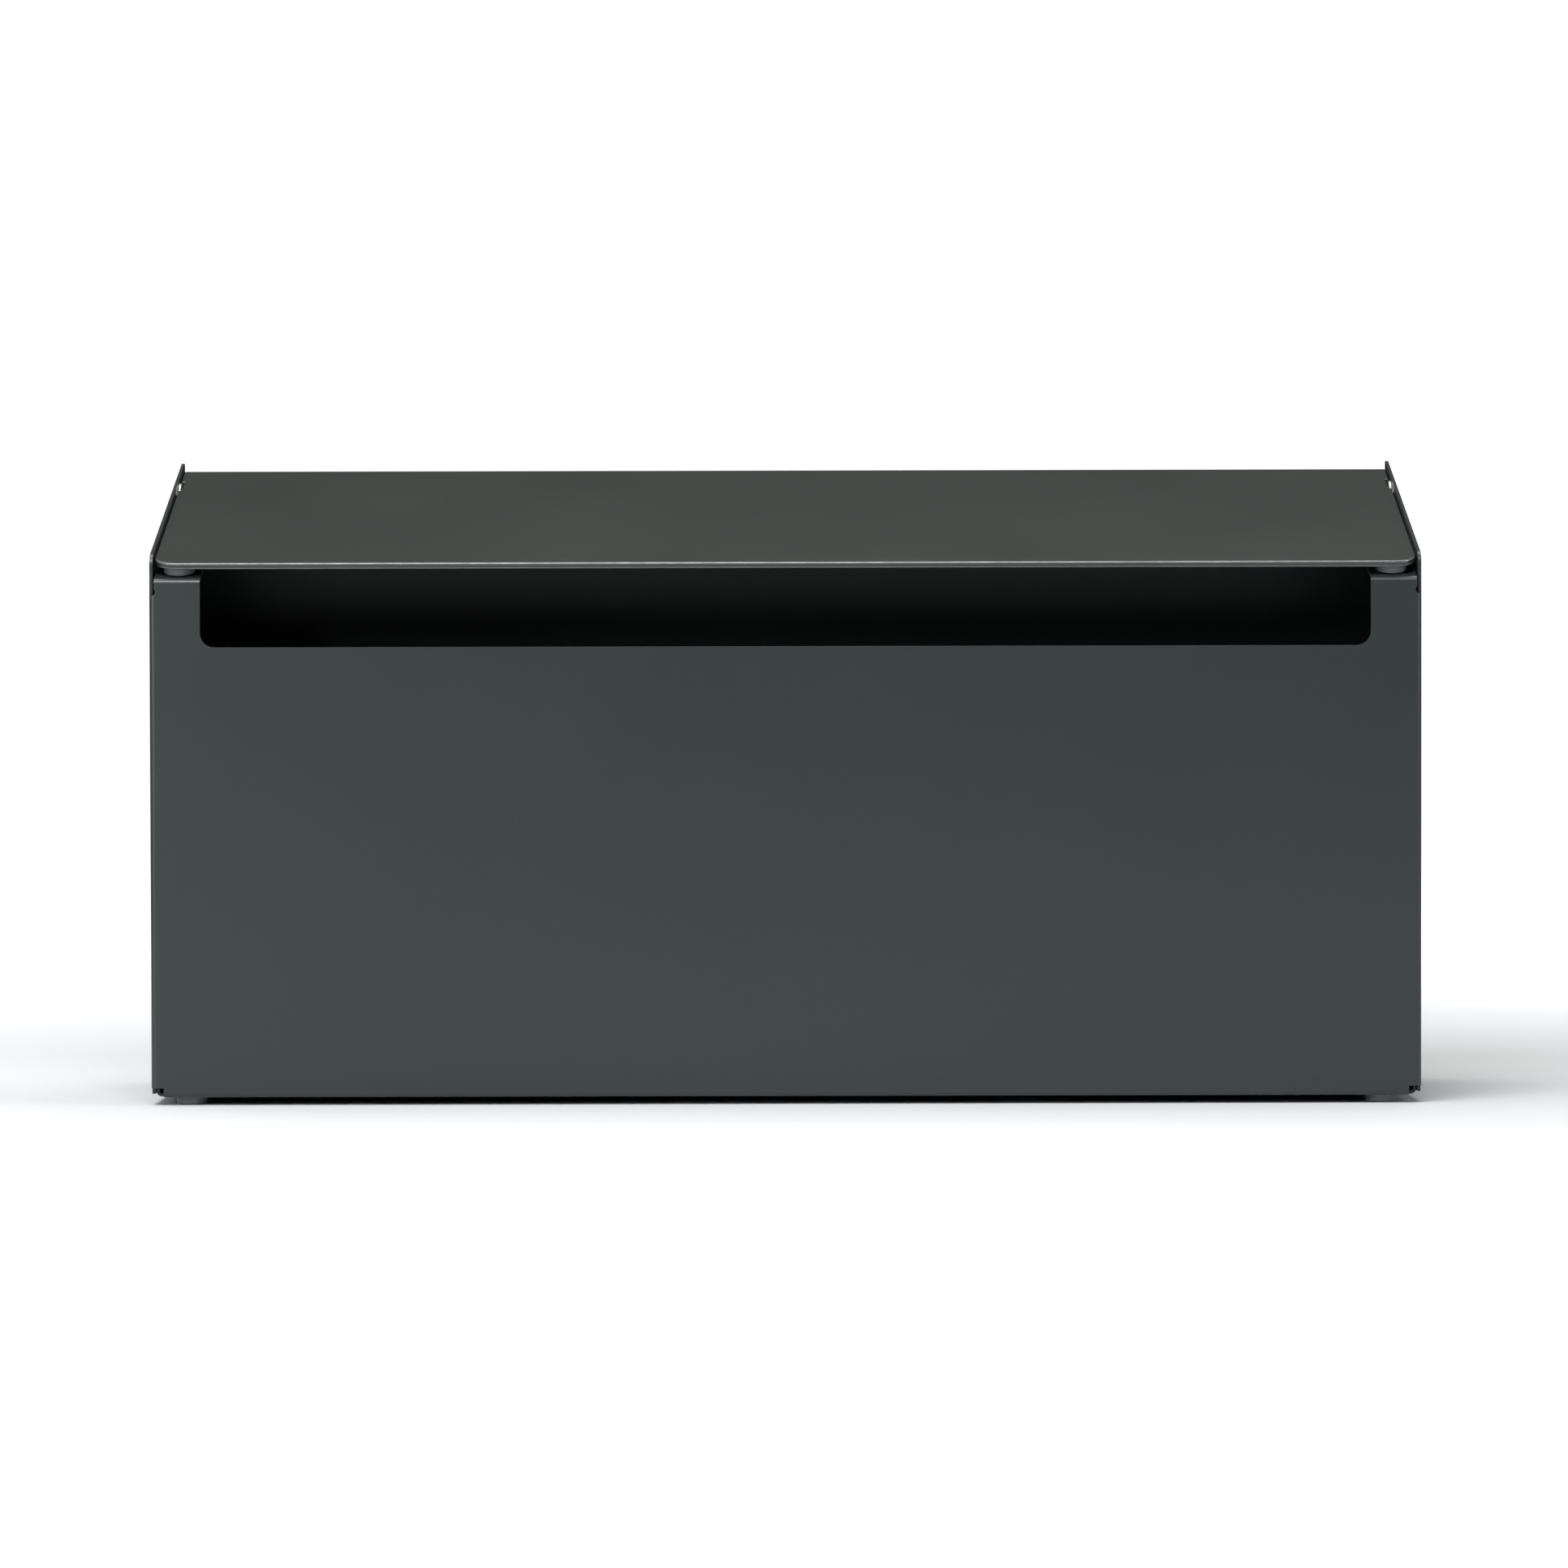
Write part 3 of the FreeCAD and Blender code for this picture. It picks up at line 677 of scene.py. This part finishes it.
for hand in ("left", "right"):
    node = "lid_bumper_" + hand
    low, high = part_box(node)
    top = centre_of(node) + off_lid * (BUMPER_HEIGHT / 2)
    stop = rubber_stop((high[0] - low[0]) / 2, BUMPER_HEIGHT, top, -off_lid)
    add_piece("bumper_" + hand, stop, "lid", shaded_bumper_rubber, "grey_rubber", node)
    for end in ("front", "rear"):
        node = f"foot_{end}_{hand}"
        low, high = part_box(node)
        centre = centre_of(node)
        stop = rubber_stop((high[0] - low[0]) / 2, high[2] - low[2],
                           Vector((centre.x, centre.y, high[2])), (0, 0, -1))
        add_piece(f"foot_{end}_{hand}_stop", stop, "box", foot_rubber, "grey_rubber", node)
print("rubber stops made")

# %% [markdown]
# # Hinge washers and pins
# A stamped washer has one rolled edge and a burred bore, and a shoulder pin has a low domed
# head outside the cheek. Inside, the end of the pin is hammered flat over the lug.

# %% The washer's profile
WASHER_SEGMENTS = 64
WASHER_BORE = 2.15 * MM
WASHER_EDGE = 0.15 * MM


def washer(x, outwards):
    thick = washer_high[0] - washer_low[0]
    profile = [(WASHER_BORE, 0, WASHER_EDGE), (washer_radius, 0, WASHER_EDGE * 2),
               (washer_radius, thick, WASHER_EDGE), (WASHER_BORE, thick, WASHER_EDGE),
               (WASHER_BORE, 0, 0)]
    return turned(profile, WASHER_SEGMENTS, Vector((x, hinge_line.y, hinge_line.z)), outwards)


print("washers are", round(2 * washer_radius / MM, 2), "mm across")

# %% The pin's profile
PIN_SEGMENTS = 48
PIN_RADIUS = 2.0 * MM
TENON_RADIUS = 1.5 * MM
UPSET_RADIUS = 2.5 * MM
UPSET_THICKNESS = 0.7 * MM
UPSET_TAPER = 0.4 * MM
HEAD_GAP = 0.05 * MM                 # between the cheek and the pin's head
HEAD_DOME_INSET = 0.9 * MM
lug_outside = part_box("hinge_lug_right")[1][0]
pin_low, pin_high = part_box("pivot_pin_right")
shell_low, shell_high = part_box("body_shell")
lug_face = lug_outside - pin_low[0]
head_start = shell_high[0] + HEAD_GAP - pin_low[0]
pin_length = pin_high[0] - pin_low[0]


def shoulder_pin(x, outwards):
    """Hammered end, tenon through the lug, shank through the cheek, domed head."""
    head_radius = (pin_high[1] - pin_low[1]) / 2
    profile = [(0, 0, 0), (UPSET_RADIUS - UPSET_TAPER, 0, 0.2 * MM),
               (UPSET_RADIUS, UPSET_THICKNESS, 0.1 * MM), (TENON_RADIUS, UPSET_THICKNESS, 0),
               (TENON_RADIUS, lug_face, 0), (PIN_RADIUS, lug_face, 0),
               (PIN_RADIUS, head_start, 0), (head_radius, head_start, 0.15 * MM),
               (head_radius - HEAD_DOME_INSET, pin_length, 0.4 * MM), (0, pin_length, 0)]
    return turned(profile, PIN_SEGMENTS, Vector((x, hinge_line.y, hinge_line.z)), outwards)


print("pins are", round(pin_length / MM, 2), "mm long")

# %% Make the washers and pins
for hand, sign in (("left", -1), ("right", 1)):
    ring = washer(sign * washer_low[0], (sign, 0, 0))
    add_piece("washer_" + hand, ring, "lid", plated, "bright_steel", "pivot_washer_" + hand)
    pin = shoulder_pin(sign * pin_low[0], (sign, 0, 0))
    add_piece("pin_" + hand, pin, "lid", plated, "bright_steel", "pivot_pin_" + hand)
print("washers and pins made")

# %% [markdown]
# # Blind rivets
# A blind rivet has a low domed head with a small round hole, where the mandrel snapped off,
# and a bulb on the far side that holds the two sheets together. All of them are alike, so one
# profile is turned once for each place. The places are read from the design file's rivets: its
# loose triangles are joined, and each closed group of points is one rivet.

# %% Find the rivets in the design
def closed_groups(data):
    """Corner pairs (low, high) of each separate closed shell of a mesh."""
    mesh = bmesh.new()
    mesh.from_mesh(data)
    bmesh.ops.remove_doubles(mesh, verts=mesh.verts, dist=SAME_POINT)
    waiting = set(mesh.verts)
    boxes = []
    while waiting:
        fresh = [waiting.pop()]
        points = []
        while fresh:
            point = fresh.pop()
            points.append(point.co.copy())
            near = [edge.other_vert(point) for edge in point.link_edges]
            found = [other for other in near if other in waiting]
            waiting.difference_update(found)
            fresh.extend(found)
        low = Vector([min(p[i] for p in points) for i in range(3)])
        high = Vector([max(p[i] for p in points) for i in range(3)])
        boxes.append((low, high))
    mesh.free()
    return sorted(boxes, key=lambda box: tuple(round(v, 5) for v in box[0]))


rivet_boxes = closed_groups(nodes["panel_rivets"].data)
print("rivets in the design:", len(rivet_boxes))

# %% The rivet's profile
RIVET_SEGMENTS = 32
RIVET_HEAD_RADIUS = 3.2 * MM
RIVET_HEAD_HEIGHT = 0.9 * MM
RIVET_HEAD_RIM = 0.12 * MM
RIVET_SHANK_RADIUS = 1.6 * MM
RIVET_BULB_RADIUS = 2.3 * MM
RIVET_BULB_LENGTH = 2.2 * MM
BULB_SHOULDER = 0.3 * MM
BULB_NOSE = 0.5 * MM
MANDREL_RADIUS = 0.85 * MM
MANDREL_DEPTH = 0.5 * MM
DOME_RADIUS_SHARE = 0.72             # where the dome turns down, as shares of the head
DOME_HEIGHT_SHARE = 0.82


def rivet(place, outwards, length):
    """Head outside, shank through the sheets, bulb inside."""
    bulb_end = RIVET_HEAD_HEIGHT - length
    bulb_start = bulb_end + RIVET_BULB_LENGTH
    hole_floor = RIVET_HEAD_HEIGHT - MANDREL_DEPTH
    profile = [(0, hole_floor, 0), (MANDREL_RADIUS, hole_floor, 0),
               (MANDREL_RADIUS, RIVET_HEAD_HEIGHT, 0.08 * MM),
               (RIVET_HEAD_RADIUS * DOME_RADIUS_SHARE, RIVET_HEAD_HEIGHT * DOME_HEIGHT_SHARE,
                0.5 * MM),
               (RIVET_HEAD_RADIUS, RIVET_HEAD_RIM, 0.1 * MM), (RIVET_HEAD_RADIUS, 0, 0),
               (RIVET_SHANK_RADIUS, 0, 0), (RIVET_SHANK_RADIUS, bulb_start, 0),
               (RIVET_BULB_RADIUS, bulb_start - BULB_SHOULDER, 0.2 * MM),
               (RIVET_BULB_RADIUS, bulb_end + BULB_NOSE, 0.4 * MM),
               (RIVET_SHANK_RADIUS, bulb_end, 0), (0, bulb_end, 0)]
    return turned(profile, RIVET_SEGMENTS, place, outwards)


print("rivet head is", 2 * RIVET_HEAD_RADIUS / MM, "mm across")

# %% Turn one rivet for each place
all_rivets = bmesh.new()
for low, high in rivet_boxes:
    place = (low + high) / 2
    sizes = high - low
    if sizes.x < sizes.z:
        outwards = Vector((math.copysign(1, place.x), 0, 0))
        place.x = outwards.x * shell_high[0]
        length = sizes.x
    else:
        outwards = Vector((0, 0, -1))
        place.z = shell_low[2]
        length = sizes.z
    one = rivet(place, outwards, length)
    one_data = bpy.data.meshes.new("one_rivet")
    one.to_mesh(one_data)
    one.free()
    all_rivets.from_mesh(one_data)
    bpy.data.meshes.remove(one_data)
rivets = add_piece("rivets", all_rivets, "box", shell_coat, "coated_steel", "panel_rivets")
print("rivet faces:", len(rivets.data.polygons))

# %% [markdown]
# The size
# The looks must not grow the box, so the new outline is printed, as the design's was at the start.

# %% Write the sizes
low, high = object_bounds()
print("visual box, mm:", [round((b - a) / MM, 2) for a, b in zip(low, high)])
